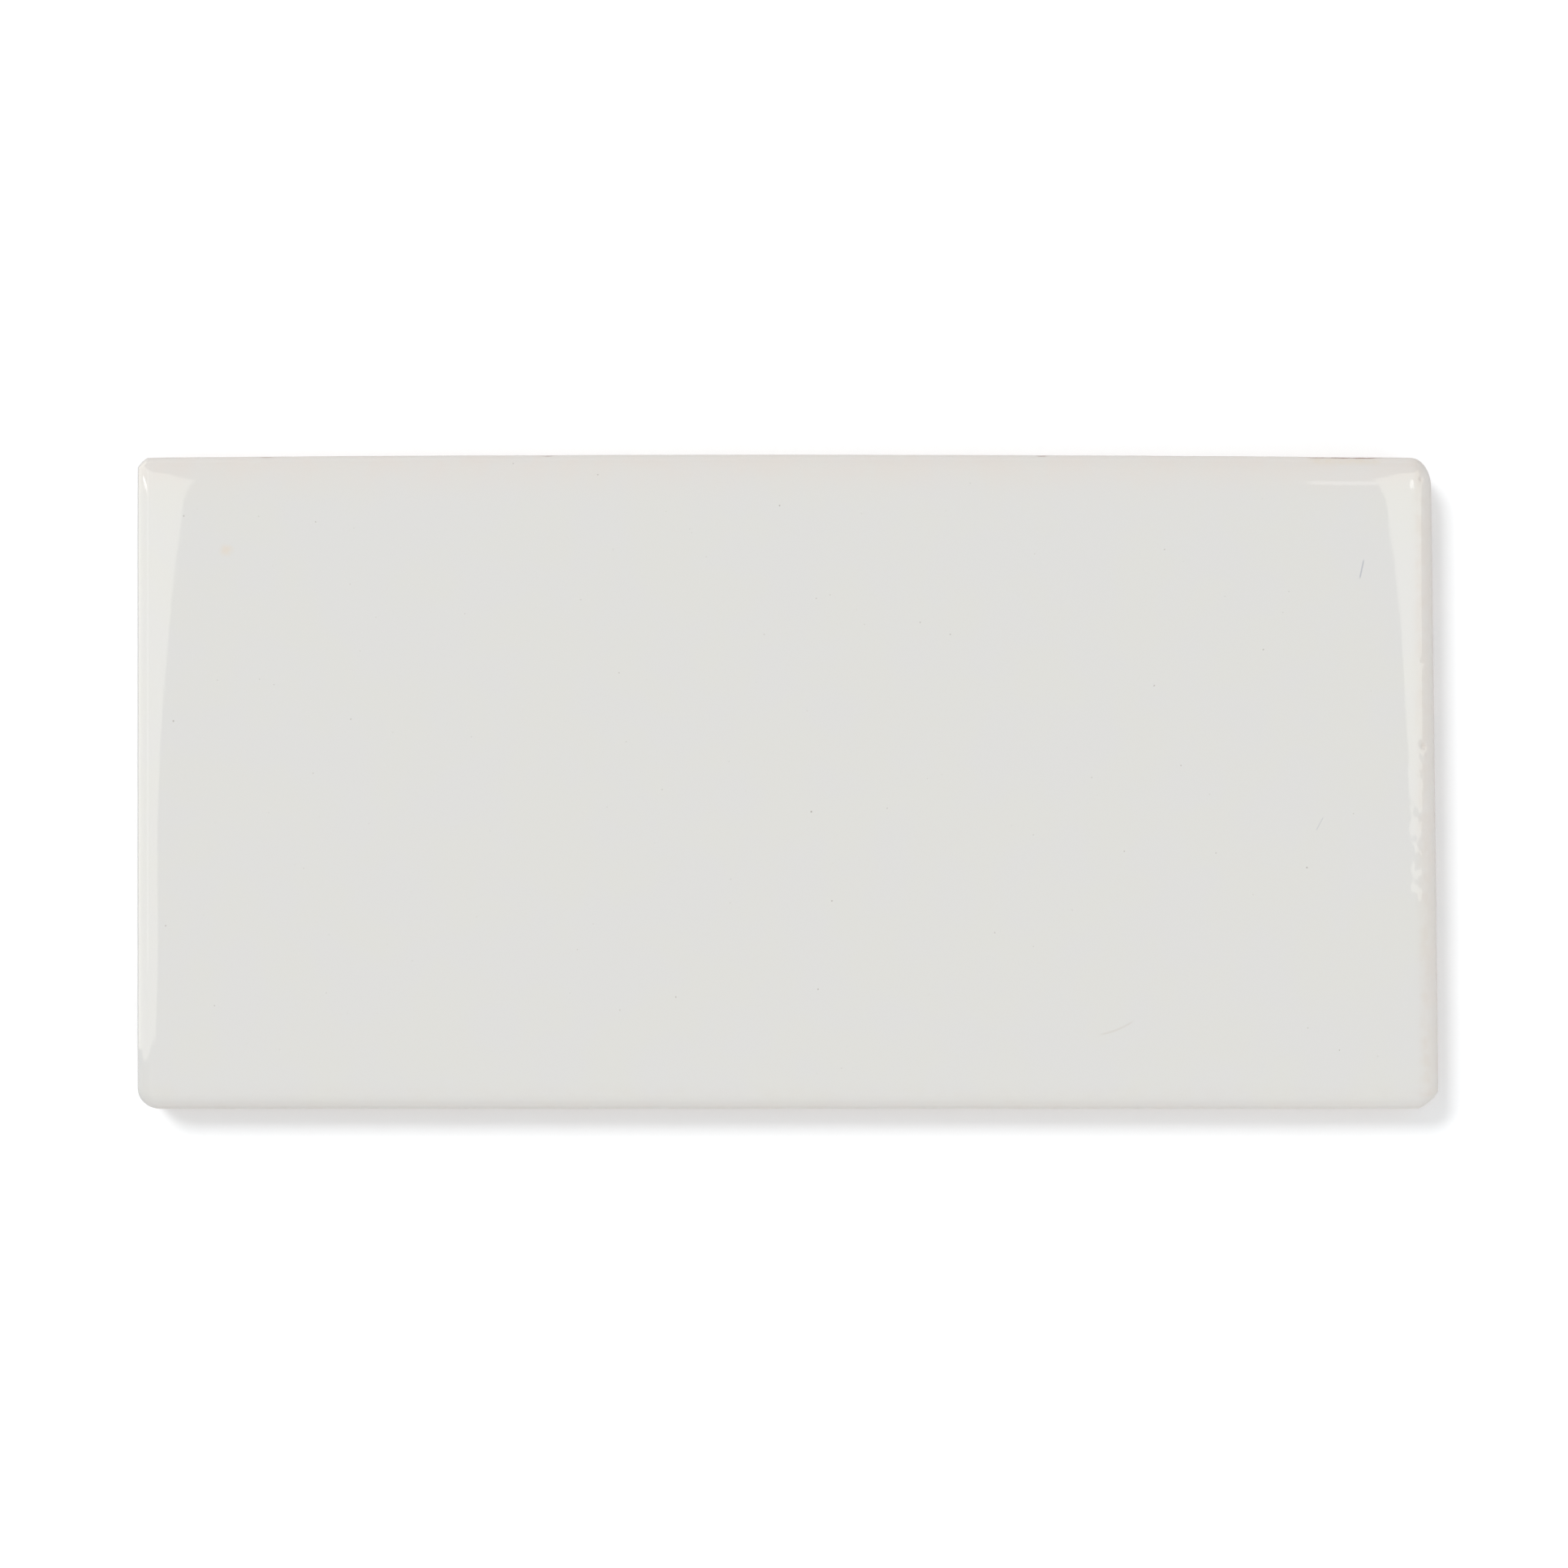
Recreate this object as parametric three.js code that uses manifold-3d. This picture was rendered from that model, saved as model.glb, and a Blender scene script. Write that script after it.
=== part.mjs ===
// A glazed ceramic wall tile of the 3 x 6 inch format.
// A pressed clay body with a keyed back carries a thin white engobe, and a glossy glaze over that.
// Millimetres, +Z up, origin at the centre of the back, X along the tile and the glazed face on top.
import * as THREE from "three";
import { ParametricGeometry } from "three/addons/geometries/ParametricGeometry.js";
import { mergeVertices } from "three/addons/utils/BufferGeometryUtils.js";
import Module from "manifold-3d";

// Overall size of the glazed tile.
const LENGTH = 152.4;
const WIDTH = 76.6;
const THICKNESS = 9.5;

// Coats, and how far down the sides each one reaches above the back.
const GLAZE = 0.5;
const ENGOBE = 0.15;
const GLAZE_HEM = 2.6;
const ENGOBE_HEM = 2.0;
const HEM_BEVEL = 0.25;
const BOND_LINE = 0.02; // kept open between solids that are fused together on a fired tile

// The face eases down towards its edges by CUSHION_DROP, over a few CUSHION_REACH, then rolls over.
const EDGE_ROLL = 1.9;
const CUSHION_DROP = 0.45;
const CUSHION_REACH = 2.2;
const BACK_CHAMFER = 0.4;

// Drying and firing leave the outline slightly out of true.
const FLARE = 0.9; // the right end leans inward by this much at its far corner
const BOW = 0.35; // the far long edge falls back by this much at both ends

// Keying grooves along the back.
const GROOVES = 6;
const GROOVE_PITCH = 11;
const GROOVE_MOUTH = 5;
const GROOVE_ROOT = 4;
const GROOVE_DEPTH = 1.2;

// Corners, anticlockwise from the far right. A power of 2 is round, and nearer 1 is a straight clip.
const CORNERS = [
  { side: [1, 1], reach: [2.4, 3.5], power: 2 },
  { side: [-1, 1], reach: [1.2, 1.2], power: 1.3 },
  { side: [-1, -1], reach: [2.6, 2.4], power: 2 },
  { side: [1, -1], reach: [2.4, 2.1], power: 1.3 },
];
const SHARPEST_CORNER = 0.3;

// Faceting.
const CORNER_STEPS = 5;
const LONG_EDGE_STEPS = 6;
const SHORT_EDGE_STEPS = 3;
const ROLL_STEPS = 5;
const CUSHION_INSETS = [2.8, 4, 6, 10]; // rings on the face, measured in from the side wall

const HALF_LENGTH = LENGTH / 2;
const HALF_WIDTH = WIDTH / 2;
const ENGOBE_DEPTH = GLAZE + BOND_LINE; // each layer's outside, measured in from the glaze's own
const BODY_DEPTH = ENGOBE_DEPTH + ENGOBE + BOND_LINE;
const wasm = await Module();
wasm.setup();

// The lean of the right end and the bow of the far edge, applied to every outline alike.
function firedOutOfTrue(x, y) {
  const right = (x / HALF_LENGTH + 1) / 2;
  const far = (y / HALF_WIDTH + 1) / 2;
  return [x - FLARE * right * far, y - BOW * (x / HALF_LENGTH) ** 2 * far];
}

// One rounded or clipped corner of the outline, drawn `inset` inside the glazed tile's side wall.
function cornerPoints({ side, reach, power }, inset) {
  const [rx, ry] = reach.map((r) => Math.max(r - inset, SHARPEST_CORNER));
  const startsOnLongEdge = side[0] * side[1] < 0;
  return Array.from({ length: CORNER_STEPS + 1 }, (_, step) => {
    const share = startsOnLongEdge ? 1 - step / CORNER_STEPS : step / CORNER_STEPS;
    const angle = (share * Math.PI) / 2;
    return [
      side[0] * (HALF_LENGTH - inset - rx + rx * Math.cos(angle) ** (2 / power)),
      side[1] * (HALF_WIDTH - inset - ry + ry * Math.sin(angle) ** (2 / power)),
    ];
  });
}

// The whole outline, anticlockwise, with the edges divided so that they can follow the bow.
function outline(inset) {
  const corners = CORNERS.map((corner) => cornerPoints(corner, inset));
  return corners.flatMap((points, index) => {
    const start = points.at(-1);
    const end = corners[(index + 1) % corners.length][0];
    const steps = index % 2 === 0 ? LONG_EDGE_STEPS : SHORT_EDGE_STEPS;
    const edge = Array.from({ length: steps - 1 }, (_, step) => {
      const share = (step + 1) / steps;
      return [0, 1].map((axis) => start[axis] + (end[axis] - start[axis]) * share);
    });
    return [...points, ...edge];
  });
}

const AROUND = outline(0).length;

function ring(inset, height) {
  return outline(inset).map(([x, y]) => [...firedOutOfTrue(x, y), height]);
}

function pole(height) {
  return Array.from({ length: AROUND }, () => [0, 0, height]);
}

// The height of the surface `depth` under the glaze, without the roll, at an inset from its wall.
function faceHeight(depth, inset) {
  return THICKNESS - depth - CUSHION_DROP * Math.exp(-(inset - depth) / CUSHION_REACH);
}

// Rings of the surface `depth` under the glaze, from the top of its side wall to the face's centre.
function faceRings(depth) {
  const radius = EDGE_ROLL - depth;
  const roll = Array.from({ length: ROLL_STEPS + 1 }, (_, step) => {
    const angle = ((1 - step / ROLL_STEPS) * Math.PI) / 2;
    const inset = depth + radius * (1 - Math.sin(angle));
    return ring(inset, faceHeight(depth, inset) - radius * (1 - Math.cos(angle)));
  });
  const cushion = CUSHION_INSETS.map((inset) => ring(inset, faceHeight(depth, inset)));
  return [...roll, ...cushion, pole(THICKNESS - depth)];
}

// A closed solid lofted through rings that run from one pole to the other.
function lofted(rings) {
  const last = rings.length - 1;
  const onRings = (u, v, target) => {
    const point = Math.round(u * AROUND) % AROUND;
    target.set(...rings[Math.round(v * last)][(point + AROUND) % AROUND]);
  };
  return closed(new ParametricGeometry(onRings, AROUND, last));
}

// Shared vertices merged, which is what makes a surface a solid.
function closed(geometry) {
  geometry.deleteAttribute("normal");
  geometry.deleteAttribute("uv");
  return mergeVertices(geometry, 1e-4);
}

function toManifold(geometry) {
  return new wasm.Manifold(
    new wasm.Mesh({
      numProp: 3,
      vertProperties: geometry.attributes.position.array,
      triVerts: new Uint32Array(geometry.index.array),
    }),
  );
}

function toGeometry(solid) {
  const { vertProperties, triVerts } = solid.getMesh();
  return new THREE.BufferGeometry()
    .setAttribute("position", new THREE.BufferAttribute(vertProperties, 3))
    .setIndex(new THREE.BufferAttribute(triVerts, 1));
}

// A coat of even thickness: its underside, its bevelled hem low on the tile's side, and its outside.
function coat(outerDepth, thickness, hem) {
  const innerDepth = outerDepth + thickness;
  const inner = faceRings(innerDepth).reverse();
  const lip = [
    ring(innerDepth, hem),
    ring(outerDepth + Math.min(HEM_BEVEL, thickness / 2), hem),
    ring(outerDepth, hem + HEM_BEVEL),
  ];
  return lofted([...inner, ...lip, ...faceRings(outerDepth)]);
}

// One keying groove: a trough narrowing to its root, which runs out through both ends of the tile.
function groove(y) {
  const overrun = 1;
  const trough = new THREE.Shape([
    new THREE.Vector2(-GROOVE_MOUTH / 2, -overrun),
    new THREE.Vector2(GROOVE_MOUTH / 2, -overrun),
    new THREE.Vector2(GROOVE_MOUTH / 2, 0),
    new THREE.Vector2(GROOVE_ROOT / 2, GROOVE_DEPTH),
    new THREE.Vector2(-GROOVE_ROOT / 2, GROOVE_DEPTH),
    new THREE.Vector2(-GROOVE_MOUTH / 2, 0),
  ]);
  const depth = LENGTH + 2 * overrun;
  const geometry = new THREE.ExtrudeGeometry(trough, { depth, bevelEnabled: false });
  geometry.rotateX(Math.PI / 2).rotateZ(Math.PI / 2).translate(-depth / 2, y, 0);
  return closed(geometry);
}

function clayBody() {
  const rings = [
    pole(0),
    ring(BODY_DEPTH + BACK_CHAMFER, 0),
    ring(BODY_DEPTH, BACK_CHAMFER),
    ...faceRings(BODY_DEPTH),
  ];
  let solid = toManifold(lofted(rings));
  for (let index = 0; index < GROOVES; index += 1) {
    const y = (index - (GROOVES - 1) / 2) * GROOVE_PITCH;
    solid = solid.subtract(toManifold(groove(y)));
  }
  return toGeometry(solid);
}

function part(name, geometry, color, roughness) {
  geometry.computeVertexNormals();
  const material = new THREE.MeshStandardMaterial({ color, roughness, metalness: 0 });
  const mesh = new THREE.Mesh(geometry, material);
  mesh.name = name;
  return mesh;
}

const tile = new THREE.Group();
tile.add(
  part("clay_body", clayBody(), 0xd9b49a, 0.85),
  part("engobe_coat", coat(ENGOBE_DEPTH, ENGOBE, ENGOBE_HEM), 0xece6dc, 0.7),
  part("glaze_coat", coat(0, GLAZE, GLAZE_HEM), 0xe1e0dc, 0.08),
);

export default tile;
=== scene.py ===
"""The looks of a glazed ceramic wall tile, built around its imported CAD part.

The tile is modelled in millimetres, because its details are that small, and each mesh is
scaled to metres as it is made. X runs along the tile, Z out of its glazed face.
"""

import math
import random

import bpy
import numpy as np
from mathutils import Matrix, Vector, noise


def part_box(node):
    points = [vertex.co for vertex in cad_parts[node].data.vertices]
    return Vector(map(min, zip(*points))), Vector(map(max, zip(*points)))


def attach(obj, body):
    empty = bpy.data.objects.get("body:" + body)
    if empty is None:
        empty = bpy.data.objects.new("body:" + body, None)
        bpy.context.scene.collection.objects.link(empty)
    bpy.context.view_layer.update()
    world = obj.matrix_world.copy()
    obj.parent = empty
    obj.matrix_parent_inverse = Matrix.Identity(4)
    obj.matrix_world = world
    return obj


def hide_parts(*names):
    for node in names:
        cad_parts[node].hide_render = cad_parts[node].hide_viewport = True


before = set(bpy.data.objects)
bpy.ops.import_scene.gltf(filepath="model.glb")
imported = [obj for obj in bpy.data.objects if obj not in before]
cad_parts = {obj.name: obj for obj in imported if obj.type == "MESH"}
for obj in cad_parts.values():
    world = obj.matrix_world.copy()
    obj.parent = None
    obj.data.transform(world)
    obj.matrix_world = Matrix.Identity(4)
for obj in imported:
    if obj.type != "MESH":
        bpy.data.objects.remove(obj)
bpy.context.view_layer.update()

MM = 0.001
SEED = 7


def box_mm(node):
    """A CAD node's lowest and highest corners, in millimetres."""
    return [np.array(corner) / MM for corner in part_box(node)]


glaze_low, glaze_high = box_mm("glaze_coat")
engobe_low, engobe_high = box_mm("engobe_coat")
body_low, body_high = box_mm("clay_body")

# Sizes that the frame gives.
HALF_LENGTH = -glaze_low[0]
HALF_WIDTH = -glaze_low[1]
TOP = glaze_high[2]
GLAZE_HEM = glaze_low[2]
ENGOBE_HEM = engobe_low[2]
ENGOBE_DEPTH = TOP - engobe_high[2]
BODY_DEPTH = TOP - body_high[2]

# Sizes of the fired shape, as in the CAD part.
EDGE_ROLL = 1.9
CUSHION_DROP = 0.45
CUSHION_REACH = 2.2
FLARE = 0.9
BOW = 0.35
SHARPEST_CORNER = 0.3
GROOVES = 6
GROOVE_PITCH = 11
GROOVE_MOUTH = 5
GROOVE_ROOT = 4
GROOVE_DEPTH = 1.2
BACK_CHAMFER = 0.4
COAT_GAP = 0.02
ARRIS = TOP - CUSHION_DROP - EDGE_ROLL  # where the roll meets the side wall
CORNERS = [  # anticlockwise from the far right: side, reach along X and Y, power (2 is round)
    ((1, 1), (2.4, 3.5), 2),
    ((-1, 1), (1.2, 1.2), 1.3),
    ((-1, -1), (2.6, 2.4), 2),
    ((1, -1), (2.4, 2.1), 1.3),
]

# How finely the coats are meshed: points round the outline, which rings halve as they go inwards.
CORNER_STEPS = 12
LONG_STEPS = 372
SHORT_STEPS = 320


# ---------------------------------------------------------------- outline and profile

def corner_points(corner, inset):
    """One corner of the outline, drawn `inset` inside the glazed side wall."""
    (side_x, side_y), reach, power = corner
    reach_x, reach_y = (max(r - inset, SHARPEST_CORNER) for r in reach)
    share = np.linspace(0, 1, CORNER_STEPS + 1)
    angle = (share if side_x * side_y > 0 else 1 - share) * math.pi / 2
    x = HALF_LENGTH - inset - reach_x + reach_x * np.cos(angle) ** (2 / power)
    y = HALF_WIDTH - inset - reach_y + reach_y * np.sin(angle) ** (2 / power)
    return np.stack([side_x * x, side_y * y], axis=1)


def outline(inset):
    """The whole outline, anticlockwise, before the lean and bow of firing."""
    corners = [corner_points(corner, inset) for corner in CORNERS]
    runs = []
    for index, points in enumerate(corners):
        start, end = points[-1], corners[(index + 1) % len(corners)][0]
        steps = SHORT_STEPS if index % 2 else LONG_STEPS
        share = np.arange(1, steps)[:, None] / steps
        runs += [points, start + (end - start) * share]
    return np.concatenate(runs)


def firing_shift(points):
    """How far the lean of the right end and the bow of the far edge draw each point in, along X and Y."""
    right = (points[:, 0] / HALF_LENGTH + 1) / 2
    far = (points[:, 1] / HALF_WIDTH + 1) / 2
    return FLARE * right * far, BOW * (points[:, 0] / HALF_LENGTH) ** 2 * far


def fired(points):
    """Points of the true outline, moved to where firing leaves them."""
    lean, bow = firing_shift(points)
    moved = points.copy()
    moved[:, 0] -= lean
    moved[:, 1] -= bow
    return moved


def cushion(x, y, depth):
    """How far the face has eased down at a point, which adds up where two edges meet."""
    gaps = (HALF_LENGTH - abs(x), HALF_WIDTH - abs(y))
    return CUSHION_DROP * sum(np.exp((depth - gap) / CUSHION_REACH) for gap in gaps)


def face_ring(inset, depth, drop=0.0, every=1):
    """A ring on the surface `depth` under the glaze, `drop` lower than the cushioned face."""
    flat = outline(inset)[::every]
    height = TOP - depth - drop - cushion(flat[:, 0], flat[:, 1], depth)
    return np.column_stack([flat, height])


def wall_ring(inset, height, every=1):
    """A ring on a side wall, at a height that is one number or one for each point."""
    flat = outline(inset)[::every]
    return np.column_stack([flat, np.broadcast_to(height, len(flat))])


def roll_rings(depth, steps, every=1):
    """The rolled edge of a layer, from the top of its side wall to the start of the face."""
    radius = EDGE_ROLL - depth
    rings = []
    for step in range(steps + 1):
        angle = (1 - step / steps) * math.pi / 2
        inset = depth + radius * (1 - math.sin(angle))
        rings.append(face_ring(inset, depth, radius * (1 - math.cos(angle)), every))
    return rings


def pole(height, x=0.0, y=0.0):
    """The single point that closes a run of rings."""
    return np.array([[x, y, height]])


def circle(x, y, height, radius, sides):
    """A ring of points round a centre, with one radius or one for each point."""
    angles = np.arange(sides) / sides * 2 * math.pi
    around = (x + radius * np.cos(angles), y + radius * np.sin(angles))
    return np.column_stack([*around, np.full(sides, height)])


def shrunk(ring, share, depth):
    """A face ring drawn in towards the tile's centre, and set back on the face."""
    flat = ring[:, :2] * share
    return np.column_stack([flat, TOP - depth - cushion(flat[:, 0], flat[:, 1], depth)])


# ---------------------------------------------------------------- mesh making

def bridge(lower, upper):
    """Faces between two rings of point numbers, where one may be half as fine as the other."""
    low, high = len(lower), len(upper)
    faces = []
    for i in range(min(low, high)):
        if low == 1 or high == 1:
            break
        if low == high:
            j = (i + 1) % low
            faces.append((lower[i], lower[j], upper[j], upper[i]))
        elif low > high:
            a, middle, b = lower[2 * i], lower[2 * i + 1], lower[(2 * i + 2) % low]
            c, d = upper[i], upper[(i + 1) % high]
            faces += [(a, middle, c), (middle, b, d), (middle, d, c)]
        else:
            a, b = lower[i], lower[(i + 1) % low]
            c, middle, d = upper[2 * i], upper[2 * i + 1], upper[(2 * i + 2) % high]
            faces += [(a, middle, c), (b, d, middle), (a, b, middle)]
    if low == 1:
        faces += [(lower[0], upper[(i + 1) % high], upper[i]) for i in range(high)]
    if high == 1:
        faces += [(lower[i], lower[(i + 1) % low], upper[0]) for i in range(low)]
    return faces


def make_mesh(name, points, faces):
    """A smooth-shaded mesh object from points in millimetres."""
    mesh = bpy.data.meshes.new(name)
    mesh.from_pydata((points * MM).tolist(), [], faces)
    mesh.validate()
    mesh.shade_smooth()
    piece = bpy.data.objects.new(name, mesh)
    bpy.context.scene.collection.objects.link(piece)
    return piece


def ring_faces(rings, first=0):
    """Faces that join neighbouring rings, whose points are numbered in turn from `first`."""
    starts = first + np.cumsum([0] + [len(ring) for ring in rings])
    numbers = [range(a, b) for a, b in zip(starts, starts[1:])]
    return [face for lower, upper in zip(numbers, numbers[1:]) for face in bridge(lower, upper)]


def loft(name, rings):
    """A closed solid through rings that run from one pole to the other."""
    return make_mesh(name, fired(np.concatenate(rings)), ring_faces(rings))


def set_attribute(piece, name, values):
    """One number for each point, for a material to read."""
    attribute = piece.data.attributes.new(name, "FLOAT", "POINT")
    attribute.data.foreach_set("value", np.asarray(values, dtype=np.float32))


def ripple(points, size, offset=0.0):
    """Smooth noise from -1 to 1 at each point, with features about `size` millimetres across."""
    shift = Vector((offset, -offset, 2 * offset))
    return np.array([noise.noise(Vector(point) / size + shift) for point in points])


def points_of(piece):
    """A mesh's points in millimetres, and its normals."""
    count = len(piece.data.vertices)
    points, normals = np.empty(count * 3), np.empty(count * 3)
    piece.data.vertices.foreach_get("co", points)
    piece.data.vertices.foreach_get("normal", normals)
    return points.reshape(-1, 3) / MM, normals.reshape(-1, 3)


def push(piece, distance):
    """Moves each point along its normal by a distance in millimetres."""
    points, normals = points_of(piece)
    moved = (points + normals * distance[:, None]) * MM
    piece.data.vertices.foreach_set("co", moved.ravel())
    piece.data.update()


def bell(distance, reach):
    """1 at no distance, falling smoothly to almost nothing at twice the reach."""
    return np.exp(-((distance / reach) ** 2))


def within(value, low, high, blur):
    """1 where value lies between low and high, fading to 0 over `blur`."""
    rise = np.clip((value - low) / blur + 0.5, 0, 1)
    fall = np.clip((high - value) / blur + 0.5, 0, 1)
    return rise * fall


# ---------------------------------------------------------------- coats

FACE_INSETS = [2.05, 2.2, 2.4, 2.6, 2.85, 3.1, 3.4, 3.8]  # fine rings on the cushion
MIDDLE_INSETS = [4.2, 4.7, 5.2, 5.8, 6.5, 7.3, 8.2, 9.2]
INNER_INSETS = [10.4, 11.8, 13.4, 15.2]
SHRINK_STEPS = 14
WALL_STEPS = 12
LIP_STEPS = 7
LIP_HEIGHT = 0.22
INNER_ROLL_STEPS = 10
GLAZE_ROLL_STEPS = 18
ENGOBE_ROLL_STEPS = 10


def face_rings(depth, roll_steps, every=1):
    """Rings from the top of a layer's side wall, over its rolled edge, to the face's centre."""
    rings = roll_rings(depth, roll_steps, every)
    rings += [face_ring(inset, depth, 0, every) for inset in FACE_INSETS[::every]]
    rings += [face_ring(inset, depth, 0, max(every, 2)) for inset in MIDDLE_INSETS[::every]]
    rings += [face_ring(inset, depth, 0, 4) for inset in INNER_INSETS]
    last = face_ring(INNER_INSETS[-1], depth, 0, 8)
    shares = 1 - np.arange(1, SHRINK_STEPS) / SHRINK_STEPS
    rings += [shrunk(last, share, depth) for share in shares]
    return rings + [pole(TOP - depth)]


def hem_height(height, every=1):
    """The wavering lower margin of a coat."""
    flat = outline(0)[::every]
    points = np.column_stack([flat, np.full(len(flat), height)])
    return height + 0.28 * ripple(points, 9, height) + 0.12 * ripple(points, 2.2, height)


def make_coat(name, depth, thickness, hem, roll_steps, every):
    """A fused coat of even thickness, with a rounded lower lip that wavers along the sides."""
    inner = face_rings(depth + thickness, INNER_ROLL_STEPS, 2)
    outer = face_rings(depth, roll_steps, every)
    margin = hem_height(hem, every)
    lip_height = min(LIP_HEIGHT, thickness)
    lip = []
    for step in range(LIP_STEPS + 1):
        angle = math.pi * (1 - step / LIP_STEPS)
        inset = depth + thickness / 2 * (1 - math.cos(angle))
        height = margin + lip_height * (1 - math.sin(angle))
        lip.append(wall_ring(inset, height, every))
    wall_top = outer[0][:, 2]
    wall = []
    for step in range(1, WALL_STEPS):
        share = step / WALL_STEPS
        height = (margin + lip_height) * (1 - share) + wall_top * share
        wall.append(wall_ring(depth, height, every))
    join = wall_ring(depth + thickness, margin[::2 // every] + 2 * lip_height, 2)
    return loft(name, inner[::-1] + [join] + lip + wall + outer)


def wall_gaps(points):
    """How far inside the right, far, left and near side walls each point lies."""
    lean, bow = firing_shift(points)
    x = points[:, 0] + lean
    y = points[:, 1] + bow
    gaps = (HALF_LENGTH - x, HALF_WIDTH - y, x + HALF_LENGTH, y + HALF_WIDTH)
    return [np.maximum(gap, 0) for gap in gaps]


# Small flaws where the glaze pulled back along the right end's ridge: a place along Y, its
# distance in from the side wall, a length along Y, a width and a height.
RIDGE_FLAWS = [
    (35.3, 1.45, 0.30, 0.28, -0.14),
    (13.9, 1.55, 0.35, 0.30, -0.05),
    (4.1, 1.60, 0.34, 0.32, -0.22),
    (3.0, 1.60, 0.36, 0.28, 0.11),
    (-3.6, 2.10, 0.50, 0.35, 0.04),
    (-8.2, 2.60, 0.60, 0.35, 0.04),
    (-14.0, 2.35, 0.40, 0.32, 0.05),
]
RIDGE_INSET = 2.2

# How unevenly the glaze lies: over the face, and along its edges in two sizes.
FACE_WAVE = 0.012
EDGE_WAVE = 0.018
EDGE_GRAIN = 0.011

# Depths at which a pinhole is at its darkest, and at which a chip has laid the clay bare.
PINHOLE_DEPTH = 0.15
BARE_DEPTH = 0.05

# A stretch of the far roll where the glaze crawled back: its ends along X and its width.
CRAWLED_PATCH = (60.9, 68.9, 0.95)

# Chips out of the far arris: a place along X, a length and a depth.
CHIPS = [
    (61.6, 0.7, 0.12),
    (64.6, 2.6, 0.10),
    (67.2, 1.5, 0.12),
    (29.7, 0.45, 0.12),
    (-28.0, 0.6, 0.06),
    (-61.0, 0.8, 0.05),
]


def faces_out(normals):
    """True for the points of a coat's outside, and not for those of its underside."""
    return normals[:, 2] > -0.2


def ridge_relief(points, right_gap):
    """Lumps and drips on the ridge of the right end."""
    y = points[:, 1]
    lumpy = within(y, -16, 5, 4) * ripple(points, 1.7, 8.2) * 0.028
    relief = bell(right_gap - RIDGE_INSET, 0.6) * lumpy
    for place, inset, length, width, height in RIDGE_FLAWS:
        relief += height * bell(y - place, length) * bell(right_gap - inset, width)
    return relief


def chip_depth(points, far_gap):
    """How much of the far arris is chipped away at each point."""
    edge = bell(far_gap, 0.22) * bell(points[:, 2] - ARRIS - 0.3, 0.55)
    ragged = 0.7 + 0.8 * ripple(points, 0.8, 6.1)
    lost = sum(depth * bell(points[:, 0] - x, length) for x, length, depth in CHIPS)
    return edge * lost * np.maximum(ragged, 0)


def glaze_masks(points, normals, ridge, chipped):
    """Where the glaze's colour and gloss change, each mask 0 to 1 at every point. The rim mask also
    carries painted shade.
    """
    outside = faces_out(normals)
    right, far, left, near = wall_gaps(points)
    above_arris = points[:, 2] - ARRIS
    steep = within(normals[:, 2], -0.5, 0.45, 0.5) * (1 - 0.8 * bell(left, 1.0)) * outside
    thin = np.maximum.reduce([bell(right, 1.5), 0.9 * bell(far, 3.4), 0.8 * bell(near, 0.9)])
    # Rim: clay showing where the glaze breaks thin over the arris, and painted shade that darkens the
    # steep roll and wall on the right, far and near sides, much less on the lit left.
    rim = steep**4 * (0.12 + 0.4 * bell(above_arris, 0.5))
    # Painted shade: a darker band along the right roll, about 1.7 mm in, and a faint one along the near
    # edge, the sides that face away from the key.
    broken_shade = 0.2 * bell(right - 1.7, 0.7) + 0.05 * bell(near - 1.9, 0.9)
    pinholes = 0.12 * np.clip(-ridge / PINHOLE_DEPTH, 0, 1)
    patch_start, patch_end, patch_width = CRAWLED_PATCH
    return {
        "thin": thin * outside,
        "rim": rim + (broken_shade + pinholes) * outside,
        "dry": steep * bell(np.minimum(above_arris, 0), 1.0),
        "bare": np.clip(chipped / BARE_DEPTH, 0, 1),
        "patch": within(points[:, 0], patch_start, patch_end, 1.0) * within(far, -1, patch_width, 0.5),
    }


def make_glaze():
    """The glossy coat: rolled edges, slightly uneven, with flaws on one ridge and a few chips."""
    piece = make_coat("tile_glaze", 0, ENGOBE_DEPTH - COAT_GAP, GLAZE_HEM, GLAZE_ROLL_STEPS, 1)
    points, normals = points_of(piece)
    gaps = wall_gaps(points)
    right, far = gaps[:2]
    flat = points * (1, 1, 0)
    face_wave = FACE_WAVE * ripple(flat, 26)
    edge_wave = EDGE_WAVE * ripple(flat, 6, 1.7) + EDGE_GRAIN * ripple(flat, 1.5, 5.3)
    ridge = ridge_relief(points, right)
    chipped = chip_depth(points, far)
    relief = face_wave + bell(np.minimum.reduce(gaps), 1.2) * edge_wave + ridge
    push(piece, faces_out(normals) * (relief - chipped))
    for name, values in glaze_masks(points, normals, ridge, chipped).items():
        set_attribute(piece, name, values)
    return piece


def make_engobe():
    """The thin white slip under the glaze, which shows only in a line below the glaze's lip."""
    thickness = BODY_DEPTH - ENGOBE_DEPTH - COAT_GAP
    return make_coat("tile_engobe", ENGOBE_DEPTH, thickness, ENGOBE_HEM, ENGOBE_ROLL_STEPS, 2)


# ---------------------------------------------------------------- clay body

BODY_SIDE_STEPS = 14
ROW_SPACING = (0.22, 0.42, 3.4)  # fine, coarse, and how far in from the sides the fine rows go
COLUMN_SPACING = (0.25, 0.9, 2.2)
HALVINGS = 16  # of the range in which a place's inset from a corner is sought


def spaced(low, high, fine, coarse, reach):
    """Places from low to high, `fine` apart near both ends and `coarse` apart in between."""
    end = np.arange(0, reach, fine)
    middle = np.linspace(low + reach, high - reach, int((high - low - 2 * reach) / coarse) + 1)
    return np.concatenate([low + end, middle, high - end[::-1]])


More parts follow.
